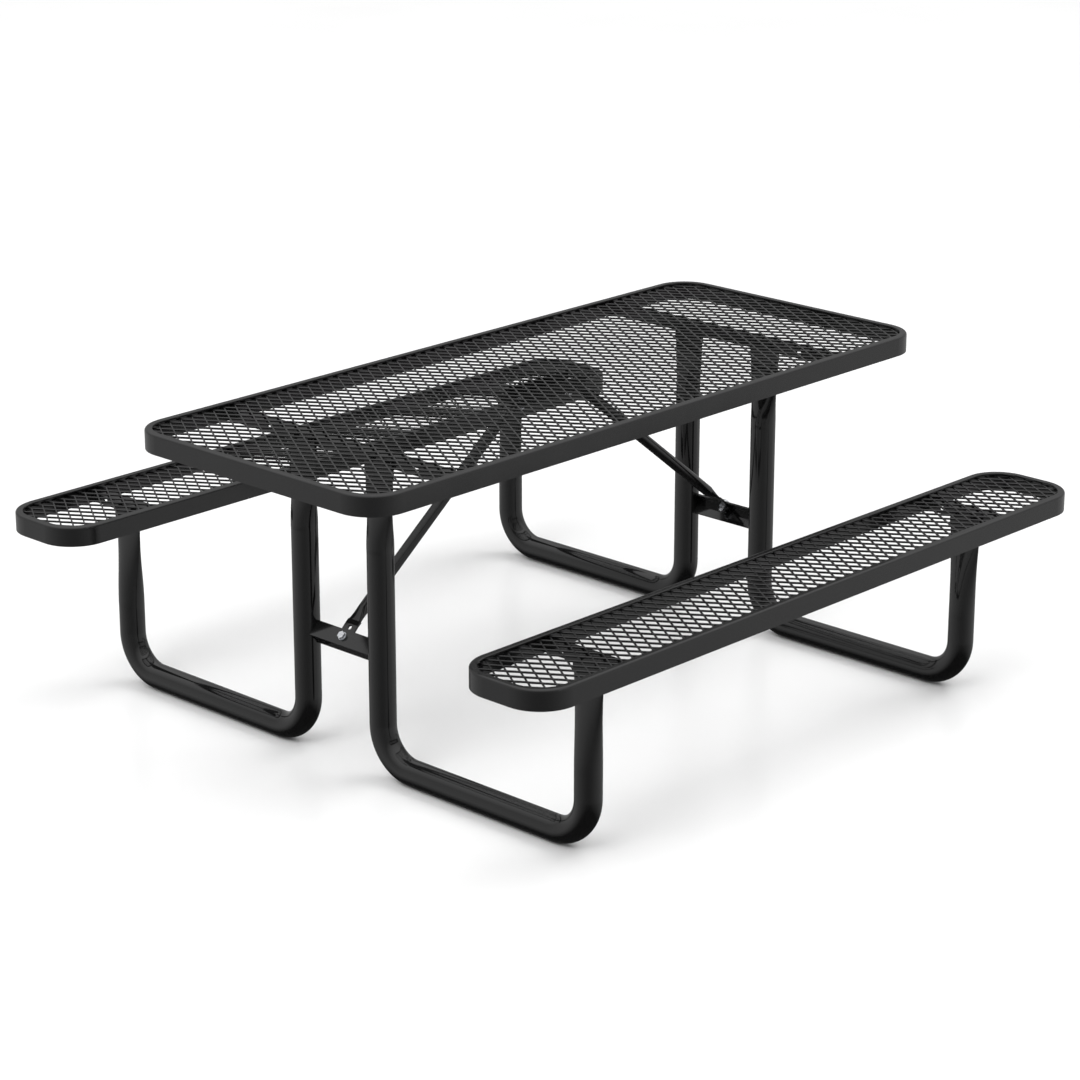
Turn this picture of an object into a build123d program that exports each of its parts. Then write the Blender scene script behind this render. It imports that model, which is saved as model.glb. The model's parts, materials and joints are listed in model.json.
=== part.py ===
"""Rectangular steel picnic table with two attached bench seats.

Frame: X runs along the table, Y across it, Z up. The origin is on the ground, in the middle of
the footprint. All sizes are millimetres. The table is bolted together and nothing on it moves.
"""

from build123d import *
from math import cos, radians
import os

# ---- Driving dimensions -------------------------------------------------------------------

TOP_LENGTH = 1829.0  # 72 in
TOP_WIDTH = 762.0  # 30 in
TOP_HEIGHT = 754.0
SEAT_LENGTH = 1829.0
SEAT_WIDTH = 252.0
SEAT_HEIGHT = 460.0
SEAT_OFFSET = 729.5  # middle of the table to the middle of a seat

# The rolled steel rim round the top and round each seat
CORNER_RADIUS = 88.0
RIM_DEPTH = 46.0
RIM_WALL = 5.0
RIM_TOP_ROUND = 6.0
LIP_WIDTH = 17.5
LIP_THICKNESS = 4.5
LIP_INNER_ROUND = 2.0

# The expanded metal sheet under the lip, taken over its full depth
SHEET_DEPTH = 8.5
SHEET_GAP = 0.4  # all round, between the sheet's edge and the rim wall

# T-section cross members, welded under the sheet above each leg
TEE_X = 641.75  # middle of the table to the line of legs
TEE_WIDTH = 38.0
TEE_DEPTH = 30.0
TEE_THICKNESS = 4.0
TEE_ROUND = 1.5
TEE_BOLT_DROP = 15.0  # top of the tee down to its holes
TEE_END_GAP = 0.4
TOP_SPARE_HOLE_Y = 230.0
SEAT_SPARE_HOLE_Y = 72.0  # either side of the seat's middle
SPARE_HOLE_RADIUS = 7.0

# Leg tubes: each is one U, from a seat down, along the ground and up to the table top
TUBE_RADIUS = 30.15  # 2 3/8 in tube
TUBE_WALL = 3.0
BEND_RADIUS = 92.0
TALL_LEG_Y = 120.0
SEAT_FLATTEN = (225.0, 118.0)  # below the bolts: the start and the middle of the flattening
TOP_FLATTEN = (185.0, 126.0)
FLATTEN_EASE = 22.0  # below its start, where the wall still runs straight into it
MIDDLE_SQUASH = 0.56  # the section's half sizes at the middle, as shares of the tube's radius
MIDDLE_SPREAD = 1.19
TAB_THICKNESS = 7.0
TAB_WIDTH = 84.0
TAB_ROUND = 14.0
TAB_TOP = 10.0  # above the bolts
TAB_FOOT = 38.0  # bolts down to the foot of the flat part, where the flattening ends
TAB_SQUEEZE = 0.9  # how much of the wall the flat end's bore keeps clear

# Angle iron between the two tall legs of each end, with its ridge outwards
ANGLE_LEG = 38.1
ANGLE_THICKNESS = 4.0
ANGLE_HEIGHT = 280.0  # ground to the ridge
ANGLE_RIDGE_OUT = 19.0  # outside the line of legs
ANGLE_BOLT_ALONG = 21.0  # ridge to the bolt, along the flange
COPE_GAP = 0.2

# Diagonal braces, from that angle iron up to the bracket under the middle of the top
BRACE_RADIUS = 13.3  # 1.05 in tube
BRACE_WALL = 2.0
BRACE_TAB_THICKNESS = 5.0
BRACE_TAB_WIDTH = 38.0
BRACE_TAB_BEFORE = 13.0  # end of the flat tab to its bolt
BRACE_BEND_AFTER = 34.0  # bolt to the bend in the tab
BRACE_FLAT_AFTER = 12.0  # bend to the end of the flat part
BRACE_NECK = 34.0  # end of the flat part to the round tube
BRACE_SPARE_HOLE = 26.0  # bolt to the second hole
BRACE_HOLE_RADIUS = 5.5

# Channel bracket welded under the middle of the top, open side up
BRACKET_LENGTH = 210.0
BRACKET_WIDTH = 60.0
BRACKET_DEPTH = 30.0
BRACKET_THICKNESS = 5.0
BRACKET_BOLT_X = 78.0

# Hex bolts, nuts and plain washers, size M10
BOLT_RADIUS = 5.0
BOLT_HOLE_RADIUS = 5.25
BOLT_SPACING = 44.0  # the two bolts of each flattened leg end
HEAD_ACROSS_FLATS = 16.0
HEAD_HEIGHT = 6.4
NUT_HEIGHT = 8.0
WASHER_RADIUS = 10.0
WASHER_THICKNESS = 2.0
BOLT_STICKS_OUT = 4.0
THREAD_GAP = 0.05

# ---- Sizes worked out from those ----------------------------------------------------------

ENDS = {"left": -1, "right": 1}
SIDES = {"front": -1, "rear": 1}
TOP_TEE_Z = TOP_HEIGHT - LIP_THICKNESS - SHEET_DEPTH
SEAT_TEE_Z = SEAT_HEIGHT - LIP_THICKNESS - SHEET_DEPTH
TOP_BOLT_Z = TOP_TEE_Z - TEE_BOLT_DROP
SEAT_BOLT_Z = SEAT_TEE_Z - TEE_BOLT_DROP
BRACKET_BOTTOM_Z = TOP_TEE_Z - BRACKET_DEPTH
WEB_INSIDE = TAB_THICKNESS / 2  # the web's face against the flattened leg end
WEB_MIDDLE = WEB_INSIDE + TEE_THICKNESS / 2
DIAGONAL = cos(radians(45))


# ---- Rims and sheets ----------------------------------------------------------------------


def make_rim(length, width, height, y):
    """A flat-sided rim with a rounded lip turned in over the sheet."""
    with BuildPart() as rim:
        with BuildSketch(Plane((0, y, height - RIM_DEPTH))):
            RectangleRounded(length, width, CORNER_RADIUS)
        extrude(amount=RIM_DEPTH)
        with BuildSketch(Plane((0, y, height - RIM_DEPTH))):
            RectangleRounded(length - 2 * RIM_WALL, width - 2 * RIM_WALL, CORNER_RADIUS - RIM_WALL)
        extrude(amount=RIM_DEPTH - LIP_THICKNESS, mode=Mode.SUBTRACT)
        with BuildSketch(Plane((0, y, height - RIM_DEPTH))):
            RectangleRounded(length - 2 * LIP_WIDTH, width - 2 * LIP_WIDTH, CORNER_RADIUS - LIP_WIDTH)
        extrude(amount=RIM_DEPTH, mode=Mode.SUBTRACT)
        top_face = rim.faces().sort_by(Axis.Z)[-1]
        fillet(top_face.outer_wire().edges(), RIM_TOP_ROUND)
        top_face = rim.faces().filter_by(Axis.Z).sort_by(Axis.Z)[-1]
        fillet(top_face.inner_wires()[0].edges(), LIP_INNER_ROUND)
    return rim.part


def make_sheet(length, width, height, y):
    """The expanded metal sheet, as the flat slab that its diamonds fill."""
    inset = RIM_WALL + SHEET_GAP
    with BuildPart() as sheet:
        with BuildSketch(Plane((0, y, height - LIP_THICKNESS))):
            RectangleRounded(length - 2 * inset, width - 2 * inset, CORNER_RADIUS - inset)
        extrude(amount=-SHEET_DEPTH)
    return sheet.part


# ---- Cross members ------------------------------------------------------------------------


def make_tee(x, y, top_z, width, web_side, bolt_middles, spare_offset):
    """A T-section bar along Y, with its web beside the flattened leg ends at x."""
    web_x = x + web_side * WEB_MIDDLE
    half = width / 2 - RIM_WALL - TEE_END_GAP
    web_plane = Plane((web_x, y, top_z - TEE_BOLT_DROP), x_dir=(0, 1, 0), z_dir=(1, 0, 0))
    bolt_places = [(m + s * BOLT_SPACING / 2, 0) for m in bolt_middles for s in (-1, 1)]
    with BuildPart() as tee:
        with BuildSketch(Plane((web_x, y - half, top_z), x_dir=(1, 0, 0), z_dir=(0, 1, 0))):
            Rectangle(TEE_WIDTH, TEE_THICKNESS, align=(Align.CENTER, Align.MIN))
            Rectangle(TEE_THICKNESS, TEE_DEPTH, align=(Align.CENTER, Align.MIN))
        extrude(amount=2 * half)
        fillet(tee.edges().filter_by(Axis.Y).group_by(Axis.Z)[0], TEE_ROUND)
        with BuildSketch(web_plane):
            with Locations(*bolt_places):
                Circle(BOLT_HOLE_RADIUS)
            with Locations((-spare_offset, 0), (spare_offset, 0)):
                Circle(SPARE_HOLE_RADIUS)
        extrude(amount=TEE_THICKNESS, both=True, mode=Mode.SUBTRACT)
    return tee.part


# ---- Leg tubes ----------------------------------------------------------------------------


def leg_path(x, side):
    """The round part of a leg tube: down from the seat, along the ground and up to the top."""
    seat_y = side * SEAT_OFFSET
    tall_y = side * TALL_LEG_Y
    corners = [
        (x, seat_y, SEAT_BOLT_Z - SEAT_FLATTEN[0] - FLATTEN_EASE),
        (x, seat_y, TUBE_RADIUS),
        (x, tall_y, TUBE_RADIUS),
        (x, tall_y, TOP_BOLT_Z - TOP_FLATTEN[0] - FLATTEN_EASE),
    ]
    with BuildLine() as path:
        FilletPolyline(*corners, radius=BEND_RADIUS)
    return path.wires()[0]


def make_squash(x, y, bolt_z, drops, inset):
    """The stretch where a leg tube goes from round to flat; inset gives its bore instead."""
    start, middle = drops
    ease_plane, round_plane, middle_plane, flat_plane = (
        Plane((x, y, bolt_z - drop), x_dir=(0, 1, 0), z_dir=(0, 0, 1))
        for drop in (start + FLATTEN_EASE, start, middle, TAB_FOOT)
    )
    with BuildPart() as squash:
        for plane in (ease_plane, round_plane):
            with BuildSketch(plane):
                Circle(TUBE_RADIUS - inset)
        with BuildSketch(middle_plane):
            Ellipse(MIDDLE_SPREAD * TUBE_RADIUS - inset, MIDDLE_SQUASH * TUBE_RADIUS - inset)
        with BuildSketch(flat_plane):
            Ellipse(TAB_WIDTH / 2 - inset, TAB_THICKNESS / 2 - TAB_SQUEEZE * inset)
        loft()
    return squash.part


def make_leg(x, side):
    """One U-shaped leg tube with both of its ends pressed flat and drilled."""
    ends = [
        (side * SEAT_OFFSET, SEAT_BOLT_Z, SEAT_FLATTEN),
        (side * TALL_LEG_Y, TOP_BOLT_Z, TOP_FLATTEN),
    ]
    outsides = [make_squash(x, y, bolt_z, drops, 0) for y, bolt_z, drops in ends]
    bores = [make_squash(x, y, bolt_z, drops, TUBE_WALL) for y, bolt_z, drops in ends]
    path = leg_path(x, side)
    path_start = Plane(path @ 0, x_dir=(0, 1, 0), z_dir=path % 0)
    with BuildPart() as bore:
        with BuildSketch(path_start):
            Circle(TUBE_RADIUS - TUBE_WALL)
        sweep(path=path)
        add(bores)
    with BuildPart() as leg:
        with BuildSketch(path_start):
            Circle(TUBE_RADIUS)
        sweep(path=path)
        add(outsides)
        for y, bolt_z, _ in ends:
            tab_face = Plane((x, y, bolt_z), x_dir=(0, 1, 0), z_dir=(1, 0, 0))
            with BuildSketch(tab_face):
                with Locations((0, -TAB_FOOT)):
                    Rectangle(TAB_WIDTH, TAB_FOOT + TAB_TOP, align=(Align.CENTER, Align.MIN))
                fillet(vertices().group_by(Axis.Y)[-1], TAB_ROUND)
            extrude(amount=TAB_THICKNESS / 2, both=True)
            with BuildSketch(tab_face):
                with Locations((-BOLT_SPACING / 2, 0), (BOLT_SPACING / 2, 0)):
                    Circle(BOLT_HOLE_RADIUS)
            extrude(amount=TUBE_RADIUS, both=True, mode=Mode.SUBTRACT)
        add(bore.part, mode=Mode.SUBTRACT)
    return leg.part


# ---- Angle irons, bracket and braces ------------------------------------------------------


def flange_plane(end, along, depth):
    """A plane parallel to the upper flange of an angle iron, facing out and up.

    Its origin is this far along the flange from the ridge, and this deep under its outer face.
    """
    ridge_x = TEE_X + ANGLE_RIDGE_OUT
    x = end * (ridge_x - (along + depth) * DIAGONAL)
    z = ANGLE_HEIGHT + (along - depth) * DIAGONAL
    return Plane((x, 0, z), x_dir=(-end * DIAGONAL, 0, DIAGONAL), z_dir=(end * DIAGONAL, 0, DIAGONAL))


def make_angle_iron(end):
    """An angle iron between the two tall legs, with its ends coped to their tubes."""
    ridge = flange_plane(end, 0, 0)
    section = Plane(ridge.origin, x_dir=ridge.x_dir, z_dir=(0, -end, 0))
    with BuildPart() as angle_iron:
        with BuildSketch(section):
            Rectangle(ANGLE_LEG, ANGLE_THICKNESS, align=(Align.MIN, Align.MIN))
            Rectangle(ANGLE_THICKNESS, ANGLE_LEG, align=(Align.MIN, Align.MIN))
        extrude(amount=TALL_LEG_Y, both=True)
        with BuildSketch(Plane.XY.offset(ANGLE_HEIGHT)):
            with Locations((end * TEE_X, -TALL_LEG_Y), (end * TEE_X, TALL_LEG_Y)):
                Circle(TUBE_RADIUS + COPE_GAP)
        extrude(amount=ANGLE_LEG, both=True, mode=Mode.SUBTRACT)
        with BuildSketch(flange_plane(end, ANGLE_BOLT_ALONG, 0)):
            Circle(BOLT_HOLE_RADIUS)
        extrude(amount=-ANGLE_THICKNESS, mode=Mode.SUBTRACT)
    return angle_iron.part


def make_bracket():
    """The channel under the middle of the top that both braces are bolted to."""
    with BuildPart() as bracket:
        with BuildSketch(Plane.YZ.offset(-BRACKET_LENGTH / 2)):
            with Locations((0, BRACKET_BOTTOM_Z)):
                Rectangle(BRACKET_WIDTH, BRACKET_DEPTH, align=(Align.CENTER, Align.MIN))
            with Locations((0, BRACKET_BOTTOM_Z + BRACKET_THICKNESS)):
                Rectangle(
                    BRACKET_WIDTH - 2 * BRACKET_THICKNESS,
                    BRACKET_DEPTH,
                    align=(Align.CENTER, Align.MIN),
                    mode=Mode.SUBTRACT,
                )
        extrude(amount=BRACKET_LENGTH)
        with BuildSketch(Plane.XY.offset(BRACKET_BOTTOM_Z)):
            with Locations((-BRACKET_BOLT_X, 0), (BRACKET_BOLT_X, 0)):
                Circle(BOLT_HOLE_RADIUS)
        extrude(amount=BRACKET_THICKNESS, mode=Mode.SUBTRACT)
    return bracket.part


def make_brace(end):
    """A round tube whose two flat ends are bent to lie on the angle iron and on the bracket."""
    foot_bolt = flange_plane(end, ANGLE_BOLT_ALONG, ANGLE_THICKNESS + BRACE_TAB_THICKNESS / 2)
    top_bolt = Plane(
        (end * BRACKET_BOLT_X, 0, BRACKET_BOTTOM_Z - BRACE_TAB_THICKNESS / 2),
        x_dir=(end, 0, 0),
        z_dir=(0, 0, 1),
    )
    foot_bend = foot_bolt.origin + foot_bolt.x_dir * BRACE_BEND_AFTER
    top_bend = top_bolt.origin + top_bolt.x_dir * BRACE_BEND_AFTER
    up = (top_bend - foot_bend).normalized()
    with BuildPart() as brace:
        round_planes = []
        for bolt, bend, along in ((foot_bolt, foot_bend, up), (top_bolt, top_bend, -up)):
            tab_end = bolt.origin - bolt.x_dir * BRACE_TAB_BEFORE
            flat_end = bend + along * BRACE_FLAT_AFTER
            flat_plane = Plane(flat_end, x_dir=(0, 1, 0), z_dir=along)
            round_plane = flat_plane.offset(BRACE_NECK)
            round_planes.append(round_plane)
            with BuildLine() as strip:
                Polyline(tab_end, bend, flat_end)
            with BuildSketch(Plane(tab_end, x_dir=(0, 1, 0), z_dir=bolt.x_dir)):
                Rectangle(BRACE_TAB_WIDTH, BRACE_TAB_THICKNESS)
            sweep(path=strip.wires()[0], transition=Transition.RIGHT)
            for inset, mode in ((0, Mode.ADD), (BRACE_WALL, Mode.SUBTRACT)):
                with BuildSketch(flat_plane):
                    Ellipse(BRACE_TAB_WIDTH / 2 - inset, BRACE_TAB_THICKNESS / 2 - TAB_SQUEEZE * inset)
                with BuildSketch(round_plane):
                    Circle(BRACE_RADIUS - inset)
                loft(mode=mode)
            with BuildSketch(bolt):
                Circle(BOLT_HOLE_RADIUS)
                with Locations((BRACE_SPARE_HOLE, 0)):
                    Circle(BRACE_HOLE_RADIUS)
            extrude(amount=BRACE_TAB_THICKNESS, both=True, mode=Mode.SUBTRACT)
        foot_round, top_round = round_planes
        with BuildSketch(foot_round):
            Circle(BRACE_RADIUS)
            Circle(BRACE_RADIUS - BRACE_WALL, mode=Mode.SUBTRACT)
        extrude(amount=(top_round.origin - foot_round.origin).length)
    return brace.part


# ---- Bolts, nuts and washers --------------------------------------------------------------
# Each joint is the plane under the washer of its bolt's head, facing the head, and the
# thickness of the pieces that it clamps.


def leg_joints():
    """The two bolts through each flattened leg end and the web of its cross member."""
    grip = TAB_THICKNESS + TEE_THICKNESS
    top_face = TEE_X + WEB_INSIDE
    seat_face = top_face + TEE_THICKNESS
    joints = []
    for end in ENDS.values():
        for side in SIDES.values():
            for shift in (-BOLT_SPACING / 2, BOLT_SPACING / 2):
                top_place = (end * top_face, side * TALL_LEG_Y + shift, TOP_BOLT_Z)
                seat_place = (end * seat_face, side * SEAT_OFFSET + shift, SEAT_BOLT_Z)
                joints.append((Plane(top_place, z_dir=(end, 0, 0)), grip))
                joints.append((Plane(seat_place, z_dir=(end, 0, 0)), grip))
    return joints


def brace_joints():
    """The bolt at the foot and the bolt at the top of each brace."""
    joints = []
    for end in ENDS.values():
        joints.append((flange_plane(end, ANGLE_BOLT_ALONG, 0), ANGLE_THICKNESS + BRACE_TAB_THICKNESS))
        bracket_face = (end * BRACKET_BOLT_X, 0, BRACKET_BOTTOM_Z + BRACKET_THICKNESS)
        joints.append((Plane(bracket_face), BRACKET_THICKNESS + BRACE_TAB_THICKNESS))
    return joints


def make_bolts(joints):
    """One hex bolt in each joint."""
    with BuildPart() as bolts:
        for washer_face, grip in joints:
            under_head = washer_face.offset(WASHER_THICKNESS)
            with BuildSketch(under_head):
                RegularPolygon(HEAD_ACROSS_FLATS / 2, 6, major_radius=False)
            extrude(amount=HEAD_HEIGHT)
            with BuildSketch(under_head):
                Circle(BOLT_RADIUS)
            extrude(amount=-(grip + 2 * WASHER_THICKNESS + NUT_HEIGHT + BOLT_STICKS_OUT))
    return bolts.part


def make_nuts(joints):
    """One hex nut on each bolt."""
    with BuildPart() as nuts:
        for washer_face, grip in joints:
            with BuildSketch(washer_face.offset(-grip - WASHER_THICKNESS)):
                RegularPolygon(HEAD_ACROSS_FLATS / 2, 6, major_radius=False)
                Circle(BOLT_RADIUS + THREAD_GAP, mode=Mode.SUBTRACT)
            extrude(amount=-NUT_HEIGHT)
    return nuts.part


def make_washers(joints):
    """A plain washer under the head and another under the nut of each bolt."""
    with BuildPart() as washers:
        for washer_face, grip in joints:
            for foot in (washer_face, washer_face.offset(-grip - WASHER_THICKNESS)):
                with BuildSketch(foot):
                    Circle(WASHER_RADIUS)
                    Circle(BOLT_HOLE_RADIUS, mode=Mode.SUBTRACT)
                extrude(amount=WASHER_THICKNESS)
    return washers.part


# ---- Save ---------------------------------------------------------------------------------


def save(part, name):
    part.label = name
    export_step(part, f"parts/{name}.step")


os.makedirs("parts", exist_ok=True)
save(make_rim(TOP_LENGTH, TOP_WIDTH, TOP_HEIGHT, 0), "top_rim")
save(make_sheet(TOP_LENGTH, TOP_WIDTH, TOP_HEIGHT, 0), "top_mesh")
for side_name, side in SIDES.items():
    seat_y = side * SEAT_OFFSET
    save(make_rim(SEAT_LENGTH, SEAT_WIDTH, SEAT_HEIGHT, seat_y), f"{side_name}_seat_rim")
    save(make_sheet(SEAT_LENGTH, SEAT_WIDTH, SEAT_HEIGHT, seat_y), f"{side_name}_seat_mesh")
for end_name, end in ENDS.items():
    tee = make_tee(end * TEE_X, 0, TOP_TEE_Z, TOP_WIDTH, -end, (-TALL_LEG_Y, TALL_LEG_Y), TOP_SPARE_HOLE_Y)
    save(tee, f"{end_name}_top_cross_member")
    for side_name, side in SIDES.items():
        tee = make_tee(end * TEE_X, side * SEAT_OFFSET, SEAT_TEE_Z, SEAT_WIDTH, end, (0,), SEAT_SPARE_HOLE_Y)
        save(tee, f"{side_name}_{end_name}_seat_cross_member")
        save(make_leg(end * TEE_X, side), f"{side_name}_{end_name}_leg")
    save(make_angle_iron(end), f"{end_name}_angle_iron")
    save(make_brace(end), f"{end_name}_brace")
save(make_bracket(), "centre_bracket")
for joint_name, joints in (("leg", leg_joints()), ("brace", brace_joints())):
    save(make_bolts(joints), f"{joint_name}_bolts")
    save(make_nuts(joints), f"{joint_name}_nuts")
    save(make_washers(joints), f"{joint_name}_washers")
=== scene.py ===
"""Looks of the steel picnic table: open expanded metal sheets, black coated steel and leg bolts,
and zinc plated brace bolts, on a pale studio floor. Metres, in the frame of the CAD part: X runs
along the table, Y across it and Z up, with the origin on the ground."""

import json

from math import cos, hypot, pi, radians, sin

import bpy
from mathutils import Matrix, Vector


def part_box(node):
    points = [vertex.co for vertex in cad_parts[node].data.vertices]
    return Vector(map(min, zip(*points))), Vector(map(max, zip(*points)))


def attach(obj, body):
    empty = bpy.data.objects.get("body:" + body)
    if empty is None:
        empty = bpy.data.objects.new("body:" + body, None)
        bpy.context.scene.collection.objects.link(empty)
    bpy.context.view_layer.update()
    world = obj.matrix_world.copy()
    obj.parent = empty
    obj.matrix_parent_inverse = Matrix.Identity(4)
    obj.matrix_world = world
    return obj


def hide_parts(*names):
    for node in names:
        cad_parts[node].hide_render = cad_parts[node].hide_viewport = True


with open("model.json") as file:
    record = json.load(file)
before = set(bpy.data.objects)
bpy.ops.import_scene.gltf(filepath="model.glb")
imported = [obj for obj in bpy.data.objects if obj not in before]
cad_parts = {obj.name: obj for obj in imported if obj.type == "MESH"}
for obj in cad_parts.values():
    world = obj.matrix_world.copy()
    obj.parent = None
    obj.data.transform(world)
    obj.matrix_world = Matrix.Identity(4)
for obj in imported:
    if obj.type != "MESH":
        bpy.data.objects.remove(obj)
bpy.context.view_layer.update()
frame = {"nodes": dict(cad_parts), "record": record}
MM = 0.001

# ---- Expanded metal -----------------------------------------------------------------------

DIAMOND_LENGTH = 31.39 * MM  # along X, middle to middle
DIAMOND_WIDTH = 49.15 * MM  # along Y
STRAND_WIDTH = 4.0 * MM
STRAND_THICKNESS = 4.2 * MM
STRAND_TILT = radians(70)
STRAND_CHAMFER = 0.6 * MM
BOND_LENGTH = 0.8 * MM  # where two strands stay joined side by side
BOND_SHIFT = 0.05 * STRAND_WIDTH  # middle of the bond to the middle of each of its strands
SHEET_CORNER = 82.6 * MM
SHEET_MARGIN = 4.0 * MM  # the outline to the middle of the outermost strands
SHEET_STARTS = {  # a bond of each sheet, from the middle of the sheet
    "top": (5.7 * MM, 19.3 * MM),
    "front_seat": (2.9 * MM, -11.0 * MM),
    "rear_seat": (0.9 * MM, -3.7 * MM),
}

# ---- Coatings -----------------------------------------------------------------------------

BLACK = (0.0035, 0.0035, 0.0036)
DUST = (0.008, 0.008, 0.008)
COATING_IOR = 1.5
GLOSS_SPREAD = 0.07  # from the glossiest patches to the dullest
COATINGS = {  # roughness of the glossiest patches, and strength of the orange peel
    "rim_coating": (0.14, 0.05),
    "frame_coating": (0.04, 0.035),
    "mesh_coating": (0.14, 0.05),
    "fastener_coating": (0.22, 0.10),
}

# ---- Camera and light ---------------------------------------------------------------------

CAMERA_PLACE = (-5.194, -4.903, 2.778)
CAMERA_YAW = radians(43.44)  # from +X towards +Y
CAMERA_PITCH = radians(18.71)  # below level
CAMERA_LENS = 108.18
CAMERA_SENSOR = 36.0
SUN_WIDTH = radians(34)
SUNS = {  # where the light goes, its height and its strength
    "left_sun": (radians(8), radians(50), 1.1),
    "right_sun": (radians(164), radians(55), 1.1),
}
FLOOR_HALF = 30.0
PLAIN_LIGHT = 0.34  # from level with the table, in front of it and behind it
SCREEN_LIGHT = 0.36  # added at both sides
CEILING_LIGHT = 1.8  # added overhead
CEILING_EDGE = 0.35  # sine of the height where the ceiling starts
PIT_SHADE = 1.2  # taken off below the table
PIT_EDGE = 0.3
DARKEST_LIGHT = 0.04


# ---- Helpers ------------------------------------------------------------------------------


def add_mesh(name, vertices, faces):
    """A new mesh object in the scene."""
    mesh = bpy.data.meshes.new(name)
    mesh.from_pydata(vertices, [], faces)
    mesh.update()
    for polygon in mesh.polygons:
        polygon.use_smooth = True
    piece = bpy.data.objects.new(name, mesh)
    bpy.context.scene.collection.objects.link(piece)
    return piece


# ---- Materials ----------------------------------------------------------------------------


class Nodes:
    """A material's node tree, with short calls for the nodes that are used here."""

    def __init__(self, name):
        self.material = bpy.data.materials.new(name)
        self.material.use_nodes = True
        self.tree = self.material.node_tree
        self.shader = self.tree.nodes["Principled BSDF"]
        self.place = self.add("ShaderNodeTexCoord").outputs["Object"]

    def add(self, kind, **values):
        node = self.tree.nodes.new(kind)
        for key, value in values.items():
            setattr(node, key, value)
        return node

    def link(self, source, target):
        self.tree.links.new(source, target)

    def noise(self, scale, detail=2.0, roughness=0.5):
        node = self.add("ShaderNodeTexNoise")
        node.inputs["Scale"].default_value = scale
        node.inputs["Detail"].default_value = detail
        node.inputs["Roughness"].default_value = roughness
        self.link(self.place, node.inputs["Vector"])
        return node.outputs["Fac"]

    def spread(self, source, low, high, start=0.35, end=0.65):
        """Maps the middle of a noise onto the range low to high."""
        node = self.add("ShaderNodeMapRange")
        node.inputs["From Min"].default_value = start
        node.inputs["From Max"].default_value = end
        node.inputs["To Min"].default_value = low
        node.inputs["To Max"].default_value = high
        self.link(source, node.inputs["Value"])
        return node.outputs["Result"]

    def mix(self, factor, first, second):
        """Mixes two colours, each a plain colour or a socket."""
        node = self.add("ShaderNodeMix", data_type="RGBA")
        self.link(factor, node.inputs["Factor"])
        for socket, colour in ((node.inputs["A"], first), (node.inputs["B"], second)):
            if isinstance(colour, tuple):
                socket.default_value = (*colour, 1.0)
            else:
                self.link(colour, socket)
        return node.outputs["Result"]

    def bump(self, height, strength, distance, normal=None):
        node = self.add("ShaderNodeBump")
        node.inputs["Strength"].default_value = strength
        node.inputs["Distance"].default_value = distance
        self.link(height, node.inputs["Height"])
        if normal:
            self.link(normal, node.inputs["Normal"])
        return node.outputs["Normal"]


def coated_material(name, gloss, peel):
    """Thick black coating: a faint orange peel, patches of slightly duller gloss and a little dust."""
    nodes = Nodes(name)
    patches = nodes.noise(9.0, detail=4.0)
    specks = nodes.noise(420.0, detail=3.0, roughness=0.6)
    ripples = nodes.noise(150.0, detail=1.5)
    facing = nodes.add("ShaderNodeNewGeometry").outputs["Normal"]
    split = nodes.add("ShaderNodeSeparateXYZ")
    nodes.link(facing, split.inputs["Vector"])
    upward = nodes.spread(split.outputs["Z"], 0.0, 0.5, start=0.5, end=1.0)
    dusty = nodes.add("ShaderNodeMath", operation="MULTIPLY")
    nodes.link(upward, dusty.inputs[0])
    nodes.link(nodes.spread(patches, 0.4, 1.0), dusty.inputs[1])
    base = nodes.mix(nodes.spread(specks, 0.0, 1.0), BLACK, tuple(1.25 * c for c in BLACK))
    nodes.link(nodes.mix(dusty.outputs["Value"], base, DUST), nodes.shader.inputs["Base Color"])
    nodes.link(nodes.spread(patches, gloss, gloss + GLOSS_SPREAD), nodes.shader.inputs["Roughness"])
    peeled = nodes.bump(ripples, peel, 0.0004)
    nodes.link(nodes.bump(specks, 0.5 * peel, 0.00012, peeled), nodes.shader.inputs["Normal"])
    nodes.shader.inputs["IOR"].default_value = COATING_IOR
    return nodes.material


def zinc_material():
    """Bright zinc plate: slightly mottled, with fine scratches and duller spots."""
    nodes = Nodes("zinc_plate")
    mottle = nodes.noise(260.0, detail=4.0)
    scratches = nodes.noise(1600.0, detail=2.0)
    colour = nodes.mix(nodes.spread(mottle, 0.0, 1.0), (0.82, 0.83, 0.85), (0.62, 0.64, 0.68))
    nodes.link(colour, nodes.shader.inputs["Base Color"])
    nodes.link(nodes.spread(mottle, 0.22, 0.4), nodes.shader.inputs["Roughness"])
    nodes.link(nodes.bump(scratches, 0.15, 0.00005), nodes.shader.inputs["Normal"])
    nodes.shader.inputs["Metallic"].default_value = 1.0
    return nodes.material


def floor_material():
    """Pale smooth studio floor."""
    nodes = Nodes("studio_floor")
    clouds = nodes.noise(1.2, detail=3.0)
    colour = nodes.mix(nodes.spread(clouds, 0.0, 1.0), (0.86, 0.86, 0.86), (0.88, 0.88, 0.88))
    nodes.link(colour, nodes.shader.inputs["Base Color"])
    nodes.shader.inputs["Roughness"].default_value = 0.2
    nodes.shader.inputs["Specular IOR Level"].default_value = 0.5
    return nodes.material


# ---- Expanded metal sheets ----------------------------------------------------------------


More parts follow.
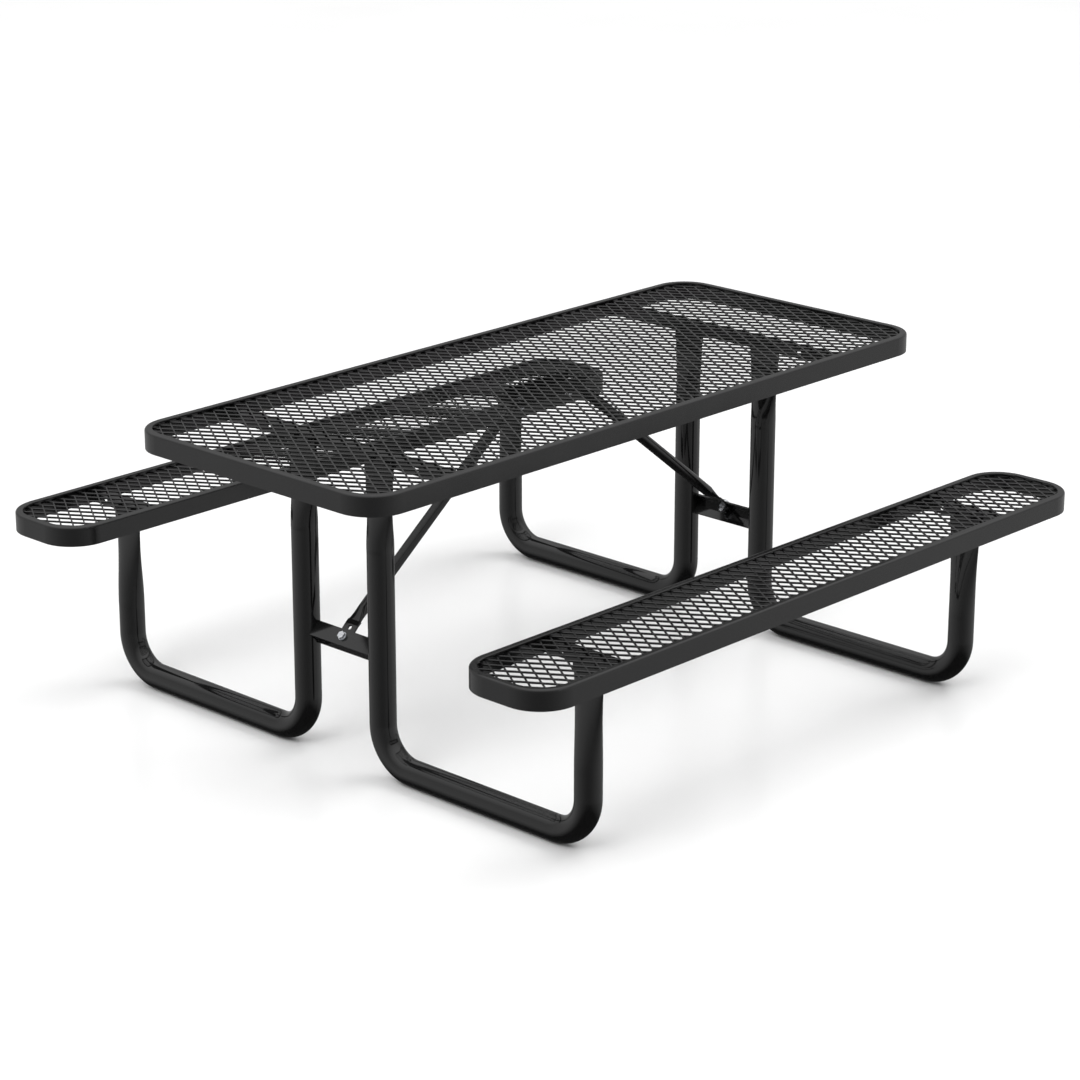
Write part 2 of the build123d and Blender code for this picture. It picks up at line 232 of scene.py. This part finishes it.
def strand_section():
    """Corners of a strand's tilted section, as offsets along X and Z. It leans towards -X."""
    half_width = STRAND_WIDTH / 2
    half_thickness = STRAND_THICKNESS / 2
    corners = []
    for across, through in ((1, 1), (1, -1), (-1, -1), (-1, 1)):
        near = (across * half_width, through * (half_thickness - STRAND_CHAMFER))
        far = (across * (half_width - STRAND_CHAMFER), through * half_thickness)
        corners += [far, near] if across == through else [near, far]
    section = []
    for across, through in corners:
        x = -across * cos(STRAND_TILT) + through * sin(STRAND_TILT)
        z = across * sin(STRAND_TILT) + through * cos(STRAND_TILT)
        section.append((x, z))
    return section


def inside_outline(x, y, half_x, half_y, corner):
    """How far a point is inside a rounded rectangle; negative outside it."""
    dx = abs(x) - (half_x - corner)
    dy = abs(y) - (half_y - corner)
    return corner - hypot(max(dx, 0.0), max(dy, 0.0)) - min(max(dx, dy), 0.0)


def crossing_point(inner, outer, depth):
    """The point between an inner and an outer one that lies on the outline."""
    for _ in range(20):
        middle = inner.lerp(outer, 0.5)
        if depth(middle) > 0:
            inner = middle
        else:
            outer = middle
    return inner


def strand_path(column, half_y, start):
    """The zigzag middle line of one strand, between two columns of bonds.

    At every half diamond it is bonded to a neighbour, by turns the one on its -X side, where it is
    the lower of the two, and the one on its +X side, where it is the upper.
    """
    half_pitch = DIAMOND_WIDTH / 2
    steps = int(half_y / half_pitch) + 3
    side_shift = BOND_SHIFT * cos(STRAND_TILT)
    rise = BOND_SHIFT * sin(STRAND_TILT)
    points = []
    for step in range(-steps, steps + 1):
        lower = (step - column) % 2 == 0
        x = start[0] + (column if lower else column + 1) * DIAMOND_LENGTH / 2
        x += side_shift if lower else -side_shift
        z = -rise if lower else rise
        for shift in (-BOND_LENGTH / 2, BOND_LENGTH / 2):
            points.append(Vector((x, start[1] + step * half_pitch + shift, z)))
    return points


def cut_path(points, depth):
    """The stretches of a path that lie inside the outline."""
    stretches = []
    current = []
    for first, second in zip(points, points[1:]):
        starts_inside = depth(first) > 0
        ends_inside = depth(second) > 0
        if starts_inside and not current:
            current = [first]
        if starts_inside and ends_inside:
            current.append(second)
        elif starts_inside:
            current.append(crossing_point(first, second, depth))
            stretches.append(current)
            current = []
        elif ends_inside:
            current = [crossing_point(second, first, depth), second]
    if current:
        stretches.append(current)
    return stretches


def expanded_sheet(name, node, start):
    """Zigzag strands, bonded side by side, that fill the place of a CAD sheet."""
    low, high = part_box(node)
    middle = (low + high) / 2
    half_x = (high.x - low.x) / 2 - SHEET_MARGIN
    half_y = (high.y - low.y) / 2 - SHEET_MARGIN
    corner = SHEET_CORNER - SHEET_MARGIN
    section = strand_section()
    sides = len(section)

    def depth(point):
        return inside_outline(point.x, point.y, half_x, half_y, corner)

    vertices = []
    faces = []
    columns = int(2 * half_x / DIAMOND_LENGTH) + 3
    for column in range(-columns, columns + 1):
        for stretch in cut_path(strand_path(column, half_y, start), depth):
            first = len(vertices)
            for point in stretch:
                for x, z in section:
                    vertices.append((middle.x + point.x + x, middle.y + point.y, middle.z + point.z + z))
            for ring in range(len(stretch) - 1):
                base = first + ring * sides
                for side in range(sides):
                    after = (side + 1) % sides
                    faces.append((base + side, base + after, base + sides + after, base + sides + side))
            faces.append(tuple(first + side for side in reversed(range(sides))))
            faces.append(tuple(len(vertices) - sides + side for side in range(sides)))
    return add_mesh(name, vertices, faces)


# ---- Materials on the CAD pieces ----------------------------------------------------------

materials = {slot: coated_material(slot, gloss, peel) for slot, (gloss, peel) in COATINGS.items()}
materials["zinc"] = zinc_material()

for subpart in frame["record"]["subparts"]:
    piece = frame["nodes"][subpart["node"]]
    for slot in piece.material_slots:
        slot.material = materials[subpart["material_slot"]]

for place, start in SHEET_STARTS.items():
    sheet = expanded_sheet(f"{place}_expanded_metal", f"{place}_mesh", start)
    sheet.data.materials.append(materials["mesh_coating"])
    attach(sheet, "root")
    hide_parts(f"{place}_mesh")

# ---- Studio -------------------------------------------------------------------------------

corners = [(-1, -1), (1, -1), (1, 1), (-1, 1)]
floor = add_mesh("studio_floor", [(x * FLOOR_HALF, y * FLOOR_HALF, 0) for x, y in corners], [(0, 1, 2, 3)])
floor.data.materials.append(floor_material())
floor.visible_glossy = False


def studio_world():
    """A studio with long white screens at both sides, and darker in front of and behind the table."""
    world = bpy.data.worlds.new("studio")
    world.use_nodes = True
    tree = world.node_tree

    def calculate(operation, *values):
        node = tree.nodes.new("ShaderNodeMath")
        node.operation = operation
        for socket, value in zip(node.inputs, values):
            if isinstance(value, float):
                socket.default_value = value
            else:
                tree.links.new(value, socket)
        return node.outputs["Value"]

    direction = tree.nodes.new("ShaderNodeTexCoord").outputs["Generated"]
    sideways = tree.nodes.new("ShaderNodeVectorMath")
    sideways.operation = "DOT_PRODUCT"
    sideways.inputs[1].default_value = (sin(CAMERA_YAW), -cos(CAMERA_YAW), 0.0)
    tree.links.new(direction, sideways.inputs[0])
    split = tree.nodes.new("ShaderNodeSeparateXYZ")
    tree.links.new(direction, split.inputs["Vector"])
    screens = calculate("POWER", calculate("ABSOLUTE", sideways.outputs["Value"]), 2.0)
    ceiling = calculate("MAXIMUM", calculate("SUBTRACT", split.outputs["Z"], CEILING_EDGE), 0.0)
    pit = calculate("MINIMUM", calculate("ADD", split.outputs["Z"], PIT_EDGE), 0.0)
    light = calculate("MULTIPLY_ADD", screens, SCREEN_LIGHT, PLAIN_LIGHT)
    light = calculate("MULTIPLY_ADD", ceiling, CEILING_LIGHT, light)
    light = calculate("MAXIMUM", calculate("MULTIPLY_ADD", pit, PIT_SHADE, light), DARKEST_LIGHT)
    seen = tree.nodes.new("ShaderNodeLightPath").outputs["Is Camera Ray"]
    background = tree.nodes["Background"]
    background.inputs["Color"].default_value = (1.0, 1.0, 1.0, 1.0)
    tree.links.new(calculate("MAXIMUM", light, seen), background.inputs["Strength"])
    return world


bpy.context.scene.world = studio_world()
bpy.context.scene.view_settings.view_transform = "Standard"


def soft_sun(name, heading, elevation, strength):
    """A very wide sun, so that its shadows are soft. The heading is where its light goes."""
    light = bpy.data.lights.new(name, "SUN")
    light.angle = SUN_WIDTH
    light.energy = strength
    lamp = bpy.data.objects.new(name, light)
    direction = Vector((cos(heading) * cos(elevation), sin(heading) * cos(elevation), -sin(elevation)))
    lamp.rotation_euler = direction.to_track_quat("-Z", "Y").to_euler()
    lamp.location = -5.0 * direction
    lamp.visible_glossy = False
    bpy.context.scene.collection.objects.link(lamp)


for sun, (heading, elevation, strength) in SUNS.items():
    soft_sun(sun, heading, elevation, strength)

camera = bpy.data.cameras.new("photo_view")
camera.sensor_width = CAMERA_SENSOR
camera.lens = CAMERA_LENS
viewer = bpy.data.objects.new("photo_view", camera)
viewer.location = CAMERA_PLACE
viewer.rotation_euler = (pi / 2 - CAMERA_PITCH, 0.0, CAMERA_YAW - pi / 2)
bpy.context.scene.collection.objects.link(viewer)
bpy.context.scene.camera = viewer
